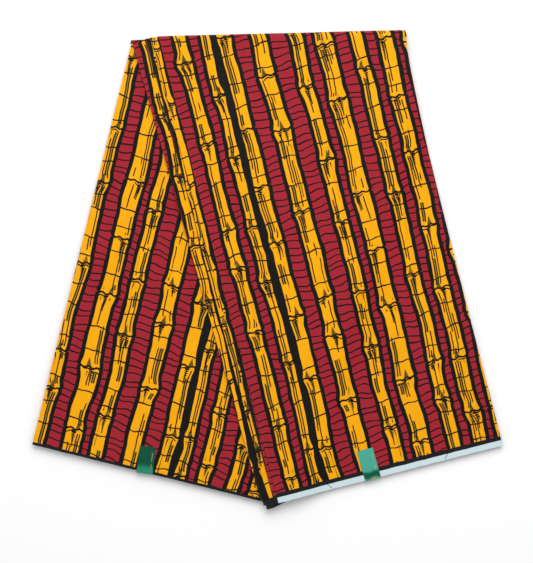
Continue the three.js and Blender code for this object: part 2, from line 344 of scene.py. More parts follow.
def front_pair(pair, level, rows, columns, fitted=False):
    """One pair of the front leg, round the fold and down to its hem. A pleat has a few rows more, which hang
    at its corner. Where fitted, the print keeps its width beside the bowed right edge."""
    drop, cut, hem = (pair.get(key, 0.0) for key in ("drop", "cut", "hem"))
    strip = HANG_ROWS if drop else 0
    turns = np.concatenate([np.linspace(math.pi, 0, WRAP_STEPS + 1)[:-1], np.zeros(rows + 1 + strip)])
    share = np.concatenate([np.zeros(WRAP_STEPS), np.linspace(0, 1, rows + 1), np.ones(strip)])
    hanging = np.concatenate([np.zeros(WRAP_STEPS + rows + 1), np.linspace(0, 1, strip + 1)[1:]])
    last_row = np.arange(len(share))[:, None] == len(share) - 1
    left = front_line(pair["start"], pair["end"], share)
    straight = front_line(FOLD_LENGTH, 0, share)
    fit = np.linalg.norm(straight - left, axis=1) if fitted else None
    right = straight - FRONT_ACROSS * (RIGHT_BOW * np.sin(math.pi * np.sqrt(share)))[:, None]
    across = (right - left) / np.linalg.norm(right - left, axis=1)[:, None]
    near_hem = np.clip((share - HEM_FROM) / (1 - HEM_FROM), 0, 1)
    left = left + across * (pair.get("left", 0.0) + cut * near_hem**2)[:, None]
    right = right - across * pair["side"]
    depth = (level - 1) * PITCH
    slide = wrap_slide(level, turns)[:, None, None] * ALONG_FOLD
    weight = level / FRONT_LEVELS
    corner = front_hem(0)

    def placed(plan, height):
        shares_across = np.linalg.norm(plan - right[:, None, :], axis=-1) / PANEL_WIDTH
        hang = drop * smoothstep(shares_across, CORNER_FROM, CORNER_TO) - (PLEAT_TUCK if drop else 0)
        down = hanging[:, None] * hang - hem * near_hem[:, None]
        down = down + last_row * frayed(shares_across * PANEL_WIDTH + level * FRAY_STEP_FRONT)
        plan = plan + FRONT_DOWN * down[..., None]
        raise_by = lift(plan)
        calm = smoothstep(np.abs((plan - corner) @ FRONT_DOWN), *CALM_FRONT_HEM)
        bump = relief(plan, "front") * calm * weight * np.cos(turns / 2)[:, None] ** 2
        radius = (raise_by - BACK_TOP) / 2 + depth + height + bump
        xy = plan - slide + BEYOND_FOLD * (radius * np.sin(turns)[:, None])[..., None]
        z = (raise_by + BACK_TOP) / 2 + radius * np.cos(turns)[:, None]
        from_hem = (corner - plan) @ FRONT_DOWN - hem + hang
        up = from_hem + turns[:, None] * (level - 0.5) * PITCH / SLANT_COSINE
        return np.concatenate([xy, z[..., None]], axis=-1), up

    points, faces, uv, fold = pressed_pair(left, right, placed, columns, fit)
    uv[:, 0] -= uv[:, 1] * pair.get("skew", 0.0)
    return points, faces, uv, fold


def front_left_line(plan):
    """The point of the front leg's lowest left edge that is level with each plan point."""
    lowest = FRONT_PAIRS["pleat_1"]
    top, foot = fold_point(lowest["start"]), front_hem(lowest["end"])
    share = (plan[..., 1] - top[1]) / (foot[1] - top[1])
    return top + share[..., None] * (foot - top)


def back_pair(start, side, hem, bottom, rows, columns, short=0.0, face=False):
    """One flat pair of the back leg, from the fold to its hem. The face has creases, and its print runs from
    right to left. short is how far the upper end stays off the fold."""
    share = np.linspace(0, 1, rows + 1)[:, None]

    def edge(along_fold, along_hem):
        end = fold_point(start + along_fold) - BEYOND_FOLD * short
        return end * (1 - share) + back_hem(along_hem, SELVEDGE_BACK - hem) * share

    left, right = edge(side, side), edge(FOLD_SPAN - side, PANEL_WIDTH - side)
    width = np.linalg.norm(right - left, axis=1)
    corner = back_hem(0)
    weight = (bottom + PAIR) / (BACK_FACE + PAIR)

    def placed(plan, height):
        from_left = np.linalg.norm(plan - left[:, None, :], axis=-1)
        fray = (share >= 1) * frayed(from_left + bottom * FRAY_STEP_BACK)
        plan = plan + BACK_DOWN * fray[..., None]
        from_hem = (corner - plan) @ BACK_DOWN
        z = bottom + height
        if face:
            calm = smoothstep(np.abs(from_hem), *CALM_BACK_HEM)
            calm = calm * smoothstep((front_left_line(plan) - plan) @ FRONT_ACROSS, *CALM_BESIDE_FRONT)
            z = z + relief(plan, "back") * calm * weight
        return np.concatenate([plan, z[..., None]], axis=-1), from_hem

    points, faces, uv, fold = pressed_pair(left, right, placed, columns, width)
    if face:
        uv[:, 0] = PANEL_WIDTH - uv[:, 0]
    return points, faces, uv, fold


def linear(red, green, blue):
    """A colour in 0 to 255 as Blender's linear one."""

    def channel(value):
        value /= 255
        return value / 12.92 if value <= 0.04045 else ((value + 0.055) / 1.055) ** 2.4

    return (channel(red), channel(green), channel(blue), 1.0)


YELLOW = linear(241, 166, 5)
CRIMSON = linear(157, 33, 46)
PRINT_BLACK = linear(16, 15, 14)
CANE_SHADE = linear(78, 88, 36)
BORDER_BLACK = linear(24, 26, 28)
PALE_BLUE = linear(206, 224, 227)
SELVEDGE_MARK = linear(38, 62, 112)
RUBBED = linear(196, 170, 140)
# The gold below is the colour of the painted glints on the foil labels.
GLINT_GOLD = linear(206, 190, 120)
PAPER = (linear(251, 251, 252), linear(253, 253, 253))


class Wires:
    """Adds nodes to a shader tree. A value is a number, a vector, a colour or a node's socket."""

    def __init__(self, tree):
        self.tree = tree

    def node(self, kind, values=(), **settings):
        made = self.tree.nodes.new(kind)
        made.location = (len(self.tree.nodes) // 6 * 190, -(len(self.tree.nodes) % 6) * 170)
        for name, value in settings.items():
            setattr(made, name, value)
        for name, value in dict(values).items():
            self.feed(made.inputs[name], value)
        return made

    def feed(self, socket, value):
        if isinstance(value, bpy.types.NodeSocket):
            self.tree.links.new(value, socket)
        else:
            socket.default_value = value

    def math(self, operation, *values, clamp=False):
        return self.node("ShaderNodeMath", enumerate(values), operation=operation, use_clamp=clamp).outputs[0]

    def add(self, a, b):
        return self.math("ADD", a, b)

    def less(self, a, b):
        return self.math("SUBTRACT", a, b)

    def times(self, a, b):
        return self.math("MULTIPLY", a, b)

    def times_add(self, a, b, c, clamp=False):
        return self.math("MULTIPLY_ADD", a, b, c, clamp=clamp)

    def fraction(self, a):
        return self.math("FRACT", a)

    def size(self, a):
        return self.math("ABSOLUTE", a)

    def moved(self, value, chance, most):
        """A value moved by up to half of most either way, by a number from 0 to 1."""
        return self.times_add(self.less(chance, 0.5), most, value)

    def all_of(self, *masks):
        product = masks[0]
        for mask in masks[1:]:
            product = self.times(product, mask)
        return product

    def any_of(self, *masks):
        highest = masks[0]
        for mask in masks[1:]:
            highest = self.math("MAXIMUM", highest, mask)
        return highest

    def over(self, value, limit, soft=0.25):
        """1 where value is over limit, 0 below it, with a soft edge."""
        return self.soft_step(value, limit, 1 / soft)

    def under(self, value, limit, soft=0.25):
        return self.soft_step(value, limit, -1 / soft)

    def soft_step(self, value, limit, steepness):
        if isinstance(limit, bpy.types.NodeSocket):
            value, limit = self.less(value, limit), 0.0
        return self.times_add(value, steepness, 0.5 - limit * steepness, clamp=True)

    def smooth(self, value, low, high):
        """0 at low and 1 at high, eased at both. low may be the higher number."""
        values = {"Value": value, "From Min": low, "From Max": high}
        return self.node("ShaderNodeMapRange", values, interpolation_type="SMOOTHSTEP").outputs[0]

    def near(self, value, middle, half, fade):
        """1 within half of the middle, fading to 0 past that."""
        return self.smooth(self.size(self.less(value, middle)), half + fade, half)

    def mix(self, share, a, b):
        """From colour a to colour b."""
        return self.node("ShaderNodeMix", {0: share, 6: a, 7: b}, data_type="RGBA").outputs[2]

    def blend(self, share, a, b):
        """From number a to number b."""
        return self.node("ShaderNodeMix", {0: share, 2: a, 3: b}).outputs[0]

    def dimmed(self, colour, share):
        return self.node("ShaderNodeVectorMath", {0: colour, "Scale": share}, operation="SCALE").outputs[0]

    def vector(self, x, y, z=0.0):
        return self.node("ShaderNodeCombineXYZ", {0: x, 1: y, 2: z}).outputs[0]

    def split(self, colour):
        """The three numbers of a colour."""
        return self.node("ShaderNodeSeparateColor", {0: colour}).outputs

    def noise(self, place, detail, scale=1.0, **settings):
        values = {"Vector": place, "Scale": scale, "Detail": detail}
        return self.node("ShaderNodeTexNoise", values, **settings).outputs

    def patches(self, x, y, size=None, detail=0.0):
        """Noise in patches of about this width and height: its value and its colour."""
        if size:
            x, y = self.times(x, 1 / size[0]), self.times(y, 1 / size[1])
        return self.noise(self.vector(x, y), detail, noise_dimensions="2D")

    def grain(self, scale, detail):
        """Noise on the piece itself, so many patches a metre."""
        return self.noise(self.node("ShaderNodeTexCoord").outputs["Object"], detail, scale)[0]

    def marks(self, place, every, scatter):
        """Marks along a line: the signed distance past the nearest one, and its three numbers."""
        place = self.times(place, 1 / every)
        values = {"W": place, "Scale": 1.0, "Randomness": scatter}
        cells = self.node("ShaderNodeTexVoronoi", values, voronoi_dimensions="1D").outputs
        return self.times(self.less(place, cells["W"]), every), self.split(cells["Color"])


SOCKET = {float: "NodeSocketFloat", tuple: "NodeSocketColor"}


def new_group(name, takes, gives):
    """A shader node group: its wires, its inputs by name and a function that sets its outputs."""
    tree = bpy.data.node_groups.new(name, "ShaderNodeTree")
    for label, default in takes.items():
        socket = tree.interface.new_socket(label, in_out="INPUT", socket_type=SOCKET[type(default)])
        socket.default_value = default
    for label, kind in gives.items():
        tree.interface.new_socket(label, in_out="OUTPUT", socket_type=SOCKET[kind])
    wires = Wires(tree)
    inputs = wires.node("NodeGroupInput").outputs
    outputs = wires.node("NodeGroupOutput")

    def give(**values):
        for label, value in values.items():
            wires.feed(outputs.inputs[label], value)

    return wires, inputs, give


# The canes of the print, in millimetres: a cane's width, the clear space after it and what fills that.
RED, BLACK = 1.0, 0.0
CANES = [
    (13.5, 8.5, RED),
    (10.5, 0.6, BLACK),
    (15.0, 16.0, RED),
    (17.0, 19.0, RED),
    (14.0, 7.5, RED),
    (19.0, 15.0, RED),
    (14.0, 8.0, RED),
    (16.0, 6.0, RED),
    (13.5, 21.0, RED),
    (11.0, 9.0, RED),
    (15.5, 5.5, RED),
    (13.0, 14.0, RED),
]
OUTLINE = 5.2
REPEAT = sum(width + space + 2 * OUTLINE for width, space, _ in CANES)
GOLDEN = 0.381966  # steps of the golden ratio give each cane its own seed


def stripe_stops():
    """Stops of two constant ramps. A cane's holds its middle, half width and seed, between the middles of two
    spaces. A space's holds its middle, kind and seed, between the middles of two canes."""
    seeds = [number * GOLDEN % 1 for number in range(len(CANES))]
    _, last_space, last_kind = CANES[-1]
    place, space_middle = last_space / 2, 0.0
    canes, spaces = [], [(0.0, (0.0, last_kind, seeds[-1]))]
    for (width, space, kind), seed in zip(CANES, seeds):
        middle = place + OUTLINE + width / 2
        canes.append((space_middle / REPEAT, (middle / REPEAT, width / 2 / REPEAT, seed)))
        space_middle = middle + width / 2 + OUTLINE + space / 2
        spaces.append((middle / REPEAT, (space_middle / REPEAT, kind, seed)))
        place = space_middle + space / 2
    return canes, spaces


def step_ramp(w, place, stops):
    """The three facts of the cell that a place from 0 to 1 is in."""
    made = w.node("ShaderNodeValToRGB", {0: place})
    ramp = made.color_ramp
    ramp.interpolation = "CONSTANT"
    while len(ramp.elements) < len(stops):
        ramp.elements.new(0.5)
    for element, (start, facts) in zip(ramp.elements, stops):
        element.position = start
        element.color = (*facts, 1)
    return w.split(made.outputs["Color"])


# How the stripes are drawn, in millimetres. size is the width and height of the patches of noise, high their
# height alone, and half a line's half width.
DRIFT = dict(size=(260, 130), aside=8.0)
WAVER = dict(size=(24, 17), aside=1.8, along=3.0, outline=2.4)
SWAY = dict(high=62, aside=4.4, girth=0.3)
TONE = dict(size=(30, 60), range=0.16)
JOINT = dict(every=88.0, scatter=0.55, half=1.25, waves=0.55, wave=0.9)
SECOND = dict(below=3.3, half=0.9, tilt=0.5)
SWELL = dict(above=15.0, below=17.0, most=3.4, notch=1.6, notch_half=1.9, notch_core=0.4)
CROSS_LINES = dict(every=31.0, scatter=0.5, half=0.86, size=(11, 24), bend=4.0, below=3.0, clear=9.0)
RUNGS = dict(every=9.4, scatter=0.4, half=0.9, size=(14, 26), bend=5.0)
LINE_SLOPE = 0.03
SIDE_LINES = dict(
    start=2.9, pitch=3.0, half=0.8, high=72, least=0.45, rarer=0.05, from_right=2.6, from_joint=5.0
)
SIDE_SHADE = dict(high=38, least=0.53, from_joint=6.0, strength=0.75)
WEDGE = dict(half=3.5, clear=1.2, leftmost=-0.75, spread=1.2, spine=0.7, tick=2.5, hatch=1.9)
WEDGE_ABOVE = dict(height=12.0, left_out=0.2)
WEDGES_BELOW = [(0, dict(height=23.0, left_out=0.15)), (2, dict(height=13.8, left_out=0.4))]
SEED_SPAN = dict(cane=773.0, space=531.0, sway=41.0, shade=57.0, side=31.0, lane=5.7)


def cane_form(w, place, y, stops):
    """The cane at a place. It sways, changes in girth, swells at each joint and has a notch right at it."""
    middle, half, seed = step_ramp(w, place, stops)
    own_y = w.times_add(seed, SEED_SPAN["cane"], y)
    sway = w.patches(w.times(own_y, 1 / SWAY["high"]), w.times(seed, SEED_SPAN["sway"]), detail=0.5)
    sways = w.split(sway["Color"])
    x = w.moved(w.times(w.less(place, middle), REPEAT), sways[0], SWAY["aside"])
    half = w.times(w.times(half, REPEAT), w.moved(1.0, sways[1], SWAY["girth"]))
    past_joint, lots = w.marks(own_y, JOINT["every"], JOINT["scatter"])
    share = w.any_of(w.times(past_joint, 1 / SWELL["above"]), w.times(past_joint, -1 / SWELL["below"]))
    swell = w.times(w.smooth(share, 1.0, 0.0), SWELL["most"])
    notch = w.smooth(w.size(past_joint), SWELL["notch_half"], SWELL["notch_core"])
    notch = w.times(notch, SWELL["notch"])

    def from_edge(straight, lot):
        """The distance from an edge, where each side of a joint swells by its own lot."""
        return w.less(w.times_add(swell, w.over(lot, 0.6, 0.8), straight), notch)

    edges = dict(from_left=from_edge(w.add(half, x), lots[0]), from_right=from_edge(w.less(half, x), lots[1]))
    return SimpleNamespace(x=x, y=own_y, half=half, seed=seed, past_joint=past_joint, lots=lots, **edges)


def wedge(w, cane, lot, rise, height, left_out):
    """A triangle with its base on the joint line, and a line up its middle. A share of them is left out."""
    middle = w.times(cane.half, w.times_add(lot, WEDGE["spread"], WEDGE["leftmost"]))
    wide = w.times_add(rise, -WEDGE["half"] / height, WEDGE["half"])
    aside = w.size(w.less(cane.x, middle))
    there = w.times(w.over(rise, WEDGE["clear"]), w.over(w.fraction(w.times(lot, 7.0)), left_out))
    spine = w.times(w.under(aside, WEDGE["spine"]), w.under(rise, height))
    return w.times(w.under(aside, wide), there), w.times(spine, there)


def joint_lines(w, cane):
    """A joint's wavy line with part of a second one, the strokes below it and the dark wedge above."""
    wave = w.math("SINE", w.times_add(cane.x, JOINT["waves"], w.times(cane.lots[2], math.tau)))
    level = w.less(cane.past_joint, w.times_add(cane.x, LINE_SLOPE, w.times(wave, JOINT["wave"])))
    joint = w.under(w.size(level), JOINT["half"])
    tilt = w.moved(0.0, cane.lots[2], SECOND["tilt"])
    second = w.under(w.size(w.times_add(cane.x, tilt, w.add(level, SECOND["below"]))), SECOND["half"])
    second = w.times(second, w.over(w.times(cane.x, w.less(cane.lots[0], 0.5)), -0.5))
    fall = w.times(level, -1.0)
    ticks = w.fraction(w.times_add(cane.x, 0.1, w.times(level, 1 / WEDGE["tick"])))
    hatch = w.fraction(w.times_add(level, 0.06, w.times(cane.x, 1 / WEDGE["hatch"])))
    triangle, _ = wedge(w, cane, cane.lots[1], level, **WEDGE_ABOVE)
    dark = w.times(triangle, w.blend(w.under(hatch, 0.6, 0.3), 0.7, 1.0))
    ticks = w.under(ticks, 0.66, 0.3)
    lines = [joint, second]
    for number, form in WEDGES_BELOW:
        triangle, spine = wedge(w, cane, cane.lots[number], fall, **form)
        lines += [w.times(triangle, ticks), spine]
    return w.any_of(*lines), dark


def lines_across(w, form, x, y):
    """Thin bent lines right across a stripe."""
    bend = w.patches(x, y, form["size"])[0]
    bent = w.less(w.times_add(bend, form["bend"], y), w.times(x, LINE_SLOPE))
    past, _ = w.marks(bent, form["every"], form["scatter"])
    return w.under(w.size(past), form["half"])


def side_lines(w, cane):
    """Long fine lines inside a cane's left edge, rarer further in, and the shade between the first two."""
    form, shade = SIDE_LINES, SIDE_SHADE
    lane = w.times_add(cane.from_left, 1 / form["pitch"], -form["start"] / form["pitch"])
    nearest = w.math("FLOOR", w.add(lane, 0.5))
    in_lane = w.times(w.size(w.less(lane, nearest)), form["pitch"])
    lane_seed = w.times(nearest, SEED_SPAN["lane"])
    spot = w.vector(w.times(cane.y, 1 / form["high"]), lane_seed, w.times(cane.seed, SEED_SPAN["side"]))
    wanted = w.over(w.noise(spot, 0.0)[0], w.times_add(nearest, form["rarer"], form["least"]), 0.01)
    patch = w.patches(w.times(cane.y, 1 / shade["high"]), w.times(cane.seed, SEED_SPAN["shade"]))[0]
    from_joint = w.size(cane.past_joint)
    shady = w.times(w.over(patch, shade["least"], 0.01), w.over(from_joint, shade["from_joint"]))
    shaded = w.all_of(shady, w.over(lane, 0.0, 0.1), w.under(lane, 1.0, 0.1))
    drawn = w.any_of(wanted, w.times(shady, w.under(nearest, 1.5)))
    side = w.all_of(w.under(in_lane, form["half"]), drawn, w.over(nearest, -0.5, 0.1))
    clear = w.times(w.over(cane.from_right, form["from_right"]), w.over(from_joint, form["from_joint"]))
    return w.times(side, clear), shaded


def build_print():
    """The group that draws the stripes: canes with joints, red columns with rungs, black outlines between."""
    takes = {"Across": 0.0, "Up": 0.0, "Shift": 0.0}
    takes.update({"Cane": YELLOW, "Red": CRIMSON, "Black": PRINT_BLACK, "Shade": CANE_SHADE})
    w, given, give = new_group("Cane Print", takes, {"Color": tuple, "Ink": float})
    across = w.times(given["Across"], 1 / MM)
    up = w.times(given["Up"], 1 / MM)
    # The whole print drifts, and every edge wavers a little.
    drift = w.patches(across, up, DRIFT["size"], 1.0)[0]
    wavers = w.split(w.patches(across, up, WAVER["size"], 1.5)["Color"])
    x = w.moved(w.moved(across, drift, DRIFT["aside"]), wavers[0], WAVER["aside"])
    y = w.moved(up, wavers[1], WAVER["along"])
    place = w.fraction(w.times(w.add(x, given["Shift"]), 1 / REPEAT))
    cane_stops, space_stops = stripe_stops()
    cane = cane_form(w, place, y, cane_stops)
    edge = w.math("MINIMUM", cane.from_left, cane.from_right)
    inside = w.over(edge, 0.0)
    space_middle, space_kind, space_seed = step_ramp(w, place, space_stops)
    outline = w.moved(OUTLINE, wavers[2], WAVER["outline"])
    red_here = w.times(w.over(w.times(edge, -1.0), outline), space_kind)

    joints, dark = joint_lines(w, cane)
    sides, shaded = side_lines(w, cane)
    from_joint = w.size(w.add(cane.past_joint, CROSS_LINES["below"]))
    crosses = lines_across(w, CROSS_LINES, cane.x, cane.y)
    crosses = w.times(crosses, w.over(from_joint, CROSS_LINES["clear"]))
    lines = w.any_of(joints, crosses, sides)
    rung_x = w.times(w.less(place, space_middle), REPEAT)
    rung_y = w.times_add(space_seed, SEED_SPAN["space"], y)
    rungs = lines_across(w, RUNGS, rung_x, rung_y)

    yellow = w.mix(w.times(shaded, SIDE_SHADE["strength"]), given["Cane"], given["Shade"])
    yellow = w.mix(dark, yellow, w.mix(0.7, given["Shade"], given["Black"]))
    colour = w.mix(red_here, given["Black"], w.mix(rungs, given["Red"], given["Black"]))
    colour = w.mix(inside, colour, w.mix(lines, yellow, given["Black"]))
    tone = w.patches(across, up, TONE["size"], 3.0)[0]
    plain = w.any_of(w.times(inside, w.less(1.0, lines)), red_here)
    give(Color=w.dimmed(colour, w.moved(1.0, tone, TONE["range"])), Ink=w.less(1.0, plain))


# Slanted ticks along a wide bare selvedge, in millimetres, and its threads.
TICKS = dict(first=12.0, every=138.0, at=62.0, slant=0.75, half=0.5, from_hem=1.2, narrowest=6.0)
THREADS = dict(turn=9.0, range=0.05, tint=0.06)


def build_border():
    """The group that adds the black border band and the bare selvedge along a hem."""
    takes = {"Color": PRINT_BLACK, "Across": 0.0, "Up": 0.0, "Bare": SELVEDGE_FRONT, "Band": FACE_BORDER}
    takes.update({"Black": BORDER_BLACK, "Selvedge": PALE_BLUE, "Mark": SELVEDGE_MARK})
    w, given, give = new_group("Hem Border", takes, {"Color": tuple})
    across = w.times(given["Across"], 1 / MM)
    waver = w.patches(w.times(across, 1 / 14), 0.0, detail=2.0)[0]
    up = w.moved(w.times(given["Up"], 1 / MM), waver, 1.1)
    band = w.under(up, w.add(given["Bare"], given["Band"]))
    bare = w.times(w.under(up, given["Bare"], 0.4), w.over(given["Bare"], 0.5))
    threads = w.math("SINE", w.times(up, THREADS["turn"]))
    threads = w.times_add(threads, THREADS["range"], THREADS["tint"])
    pale = w.mix(threads, given["Selvedge"], given["Mark"])
    along = w.math("PINGPONG", w.less(across, TICKS["first"]), TICKS["every"])
    tick = w.under(w.size(w.times_add(up, TICKS["slant"], w.less(along, TICKS["at"]))), TICKS["half"])
    tick = w.all_of(tick, w.over(given["Bare"], TICKS["narrowest"], 1.0), w.over(up, TICKS["from_hem"]))
    colour = w.mix(band, given["Color"], given["Black"])
    give(Color=w.mix(bare, colour, w.mix(tick, pale, given["Mark"])))


def build_weave():
    """The group that gives plain weave: a height and a shade. Pitch is in millimetres."""
    takes = {"Across": 0.0, "Up": 0.0, "Pitch": 0.36}
    w, given, give = new_group("Plain Weave", takes, {"Height": float, "Shade": float})
    turn = w.math("DIVIDE", math.pi / MM, given["Pitch"])
    warp = w.math("SINE", w.times(given["Across"], turn))
    weft = w.math("SINE", w.times(given["Up"], turn))
    slubs = w.patches(w.times(given["Across"], 900.0), w.times(given["Up"], 60.0), detail=2.0)[0]
    give(Height=w.times_add(slubs, 0.4, w.times(warp, weft)), Shade=w.moved(1.0, slubs, 0.16))


def build_wear():
    """The group that rubs colour off along the pressed folds."""
    takes = {"Color": PRINT_BLACK, "Fold": 0.0, "Amount": 0.2, "Rubbed": RUBBED}
    w, given, give = new_group("Fold Wear", takes, {"Color": tuple, "Worn": float})
    specks = w.over(w.grain(420.0, 3.0), 0.5, 0.3)
    worn = w.all_of(w.math("POWER", given["Fold"], 3.0), specks, given["Amount"])
    give(Color=w.mix(worn, given["Color"], given["Rubbed"]), Worn=worn)


def build_glaze():
    """The group that gives waxed cotton's roughness, which varies softly and is less on ink."""
    takes = {"Ink": 0.0, "Base": 0.62, "Worn": 0.0}
    w, given, give = new_group("Wax Glaze", takes, {"Roughness": float})
    rough = w.moved(given["Base"], w.grain(22.0, 2.0), 0.25)
    rough = w.times_add(given["Ink"], -0.06, rough)
    give(Roughness=w.times_add(given["Worn"], 0.2, rough))


def use_group(w, name, values):
    made = w.node("ShaderNodeGroup")
    made.node_tree = bpy.data.node_groups[name]
    for label, value in values.items():
        w.feed(made.inputs[label], value)
    return made.outputs


def new_material(name):
    """An empty material and its wires."""
    material = bpy.data.materials.new(name)
    material.use_nodes = True
    material.node_tree.nodes.clear()
    return material, Wires(material.node_tree)


def add_surface(w, values):
    shader = w.node("ShaderNodeBsdfPrincipled", values)
    w.node("ShaderNodeOutputMaterial", {"Surface": shader.outputs[0]})


def cloth_material(name, shift, bare=0.0, band=0.0):
    """Printed cotton. shift is where its print starts, bare its selvedge's width and band its border's."""
    colours = bpy.context.scene.wax_print_colours
    material, w = new_material(name)
    uv = w.node("ShaderNodeUVMap", uv_map="cloth").outputs[0]
    where = w.node("ShaderNodeSeparateXYZ", {0: uv}).outputs
    place = {"Across": where[0], "Up": where[1]}
    inks = {"Cane": (*colours.cane, 1), "Red": (*colours.red, 1), "Black": (*colours.black, 1)}
    stripes = use_group(w, "Cane Print", {**place, "Shift": shift, **inks})
    border = {"Color": stripes["Color"], "Bare": bare, "Band": band, "Selvedge": (*colours.selvedge, 1)}
    hem = use_group(w, "Hem Border", {**place, **border})
    fold = w.node("ShaderNodeAttribute", attribute_name="fold").outputs["Fac"]
    worn = use_group(w, "Fold Wear", {"Color": hem["Color"], "Fold": fold, "Amount": 0.07})
    weave = use_group(w, "Plain Weave", place)
    glaze = use_group(w, "Wax Glaze", {"Ink": stripes["Ink"], "Worn": worn["Worn"]})
    bump = w.node("ShaderNodeBump", {"Strength": 0.25, "Distance": 0.00012, "Height": weave["Height"]})
    values = {
        "Base Color": w.dimmed(worn["Color"], weave["Shade"]),
        "Roughness": glaze["Roughness"],
        "Normal": bump.outputs[0],
        "Specular IOR Level": 0.1,
    }
    add_surface(w, values)
    return material


# The golden glints on a foil, painted highlights, in shares of its width and length: middle, half width and
# fade.
GLINT = dict(across=(0.84, 0.01, 0.04), up=(0.5, 0.2, 0.2), strength=0.5)
FOOT_GLOW = dict(across=(0.55, 0.05, 0.35), up=(0.0, 0.0, 0.11))


def foil_material(name, colour, shaded_colour, band, glow):
    """Satin green foil, crinkled a little. Its deeper band across, by middle, half width and fade, is painted
    shade that stands in for the darker part of the foil's reflection. Its golden marks along the right side
    and at the foot are painted glints, the latter as strong as glow."""
    material, w = new_material(name)
    uv = w.node("ShaderNodeSeparateXYZ", {0: w.node("ShaderNodeUVMap", uv_map="UVMap").outputs[0]}).outputs
    crinkle = w.grain(130.0, 2.0)
    cloud = w.grain(60.0, 1.0)
    # Painted shade: the deeper band stands in for the darker part of the foil's reflection.
    tint = w.mix(w.near(w.moved(uv[1], cloud, 0.35), *band), colour, shaded_colour)
    # Painted highlights: golden glints along the right side and at the foot.
    glint = w.all_of(w.near(uv[0], *GLINT["across"]), w.over(crinkle, 0.5, 0.2), w.near(uv[1], *GLINT["up"]))
    foot = w.times(w.near(uv[1], *FOOT_GLOW["up"]), w.near(uv[0], *FOOT_GLOW["across"]))
    painted_glint = w.times_add(glint, GLINT["strength"], w.times(foot, glow))
    bump = w.node("ShaderNodeBump", {"Strength": 0.35, "Distance": 0.0006, "Height": crinkle})
    values = {
        "Base Color": w.mix(painted_glint, tint, GLINT_GOLD),
        "Metallic": 0.5,
        "Roughness": w.times_add(cloud, 0.2, 0.22),
        "Normal": bump.outputs[0],
        "Specular IOR Level": 0.25,
    }
    add_surface(w, values)
    return material


def paper_material():
    """Pale paper with a faint grain."""
    material, w = new_material("pale paper")
    tint = w.mix(w.grain(90.0, 3.0), *PAPER)
    add_surface(w, {"Base Color": tint, "Roughness": 0.9, "Specular IOR Level": 0.1})
    return material


def settle(piece, material, node):
    """Dresses a finished piece and puts it in the frame."""
    bpy.ops.object.select_all(action="DESELECT")
    piece.select_set(True)
    bpy.context.view_layer.objects.active = piece
    bpy.ops.object.shade_smooth_by_angle(angle=math.radians(40))
    piece.data.materials.append(material)
    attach(piece, "root")
    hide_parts(node)


class WaxPrintColours(bpy.types.PropertyGroup):
    cane: bpy.props.FloatVectorProperty(
        name="Cane yellow", description="Colour of the canes", subtype="COLOR", size=3, default=YELLOW[:3]
    )
    red: bpy.props.FloatVectorProperty(
        name="Crimson", description="Colour of the columns", subtype="COLOR", size=3, default=CRIMSON[:3]
    )
    black: bpy.props.FloatVectorProperty(
        name="Black", description="Colour of the outlines", subtype="COLOR", size=3, default=PRINT_BLACK[:3]
    )
    selvedge: bpy.props.FloatVectorProperty(
        name="Selvedge", description="Colour of the bare edge", subtype="COLOR", size=3, default=PALE_BLUE[:3]
    )


class WaxPrintStage(bpy.types.PropertyGroup):
    lens: bpy.props.FloatProperty(
        name="Lens", description="Focal length of the camera", unit="CAMERA", default=150, min=20, max=400
    )
    view_height: bpy.props.FloatProperty(
        name="View height", description="Height of what the camera sees", unit="LENGTH", default=0.7178
    )
    key: bpy.props.FloatProperty(
        name="Key light", description="Power of the soft light overhead", unit="POWER", default=26, min=0
    )
    fill: bpy.props.FloatProperty(
        name="Fill", description="Strength of the pale surroundings", default=0.62, min=0
    )


FLOOR_RADIUS, FLOOR_LEVEL = 24, -0.0004
KEY_PLACE, KEY_AIM, KEY_SIZE = (0.05, 1.0, 1.6), (0, 0.02, 0), 1.7
CAMERA_PLACE = (-0.0013, -0.0145)
CAMERA_LEVEL = 0.011  # the level at which the view height is measured
SENSOR = 36


class WAXPRINT_OT_stage(bpy.types.Operator):
    """Adds the floor, the soft light and the camera straight above"""

    bl_idname = "wax_print.stage"
    bl_label = "Stage"

    def execute(self, context):
        stage = context.scene.wax_print_stage
        bpy.ops.object.select_all(action="DESELECT")
        bpy.ops.mesh.primitive_circle_add(
            vertices=96, radius=FLOOR_RADIUS, fill_type="NGON", location=(0, 0, FLOOR_LEVEL)
        )
        floor = context.object
        floor.name = "floor"
        bpy.ops.object.transform_apply(location=True)
        floor.data.materials.append(paper_material())
        bpy.ops.object.light_add(type="AREA", location=KEY_PLACE)
        key = context.object
        key.name = "key light"
        key.data.shape = "DISK"
        key.data.size = KEY_SIZE
        key.data.energy = stage.key
        key.rotation_euler = (Vector(KEY_AIM) - key.location).to_track_quat("-Z", "Y").to_euler()
        world = bpy.data.worlds.new("studio")
        world.use_nodes = True
        background = world.node_tree.nodes["Background"].inputs
        background["Color"].default_value = (1, 1, 1, 1)
        background["Strength"].default_value = stage.fill
        context.scene.world = world
        context.scene.view_settings.view_transform = "Standard"
        distance = stage.view_height * stage.lens / SENSOR + CAMERA_LEVEL
        bpy.ops.object.camera_add(location=(*CAMERA_PLACE, distance), rotation=(0, 0, 0))
        camera = context.object
        camera.name = "camera"
        camera.data.lens = stage.lens
        camera.data.clip_end = 100
        context.scene.camera = camera
        return {"FINISHED"}


class WAXPRINT_OT_finishes(bpy.types.Operator):
    """Builds the shared shader groups of print, border, weave, wear and glaze"""

    bl_idname = "wax_print.finishes"
    bl_label = "Finishes"

    def execute(self, context):
        for build in (build_print, build_border, build_weave, build_wear, build_glaze):
            build()
        return {"FINISHED"}


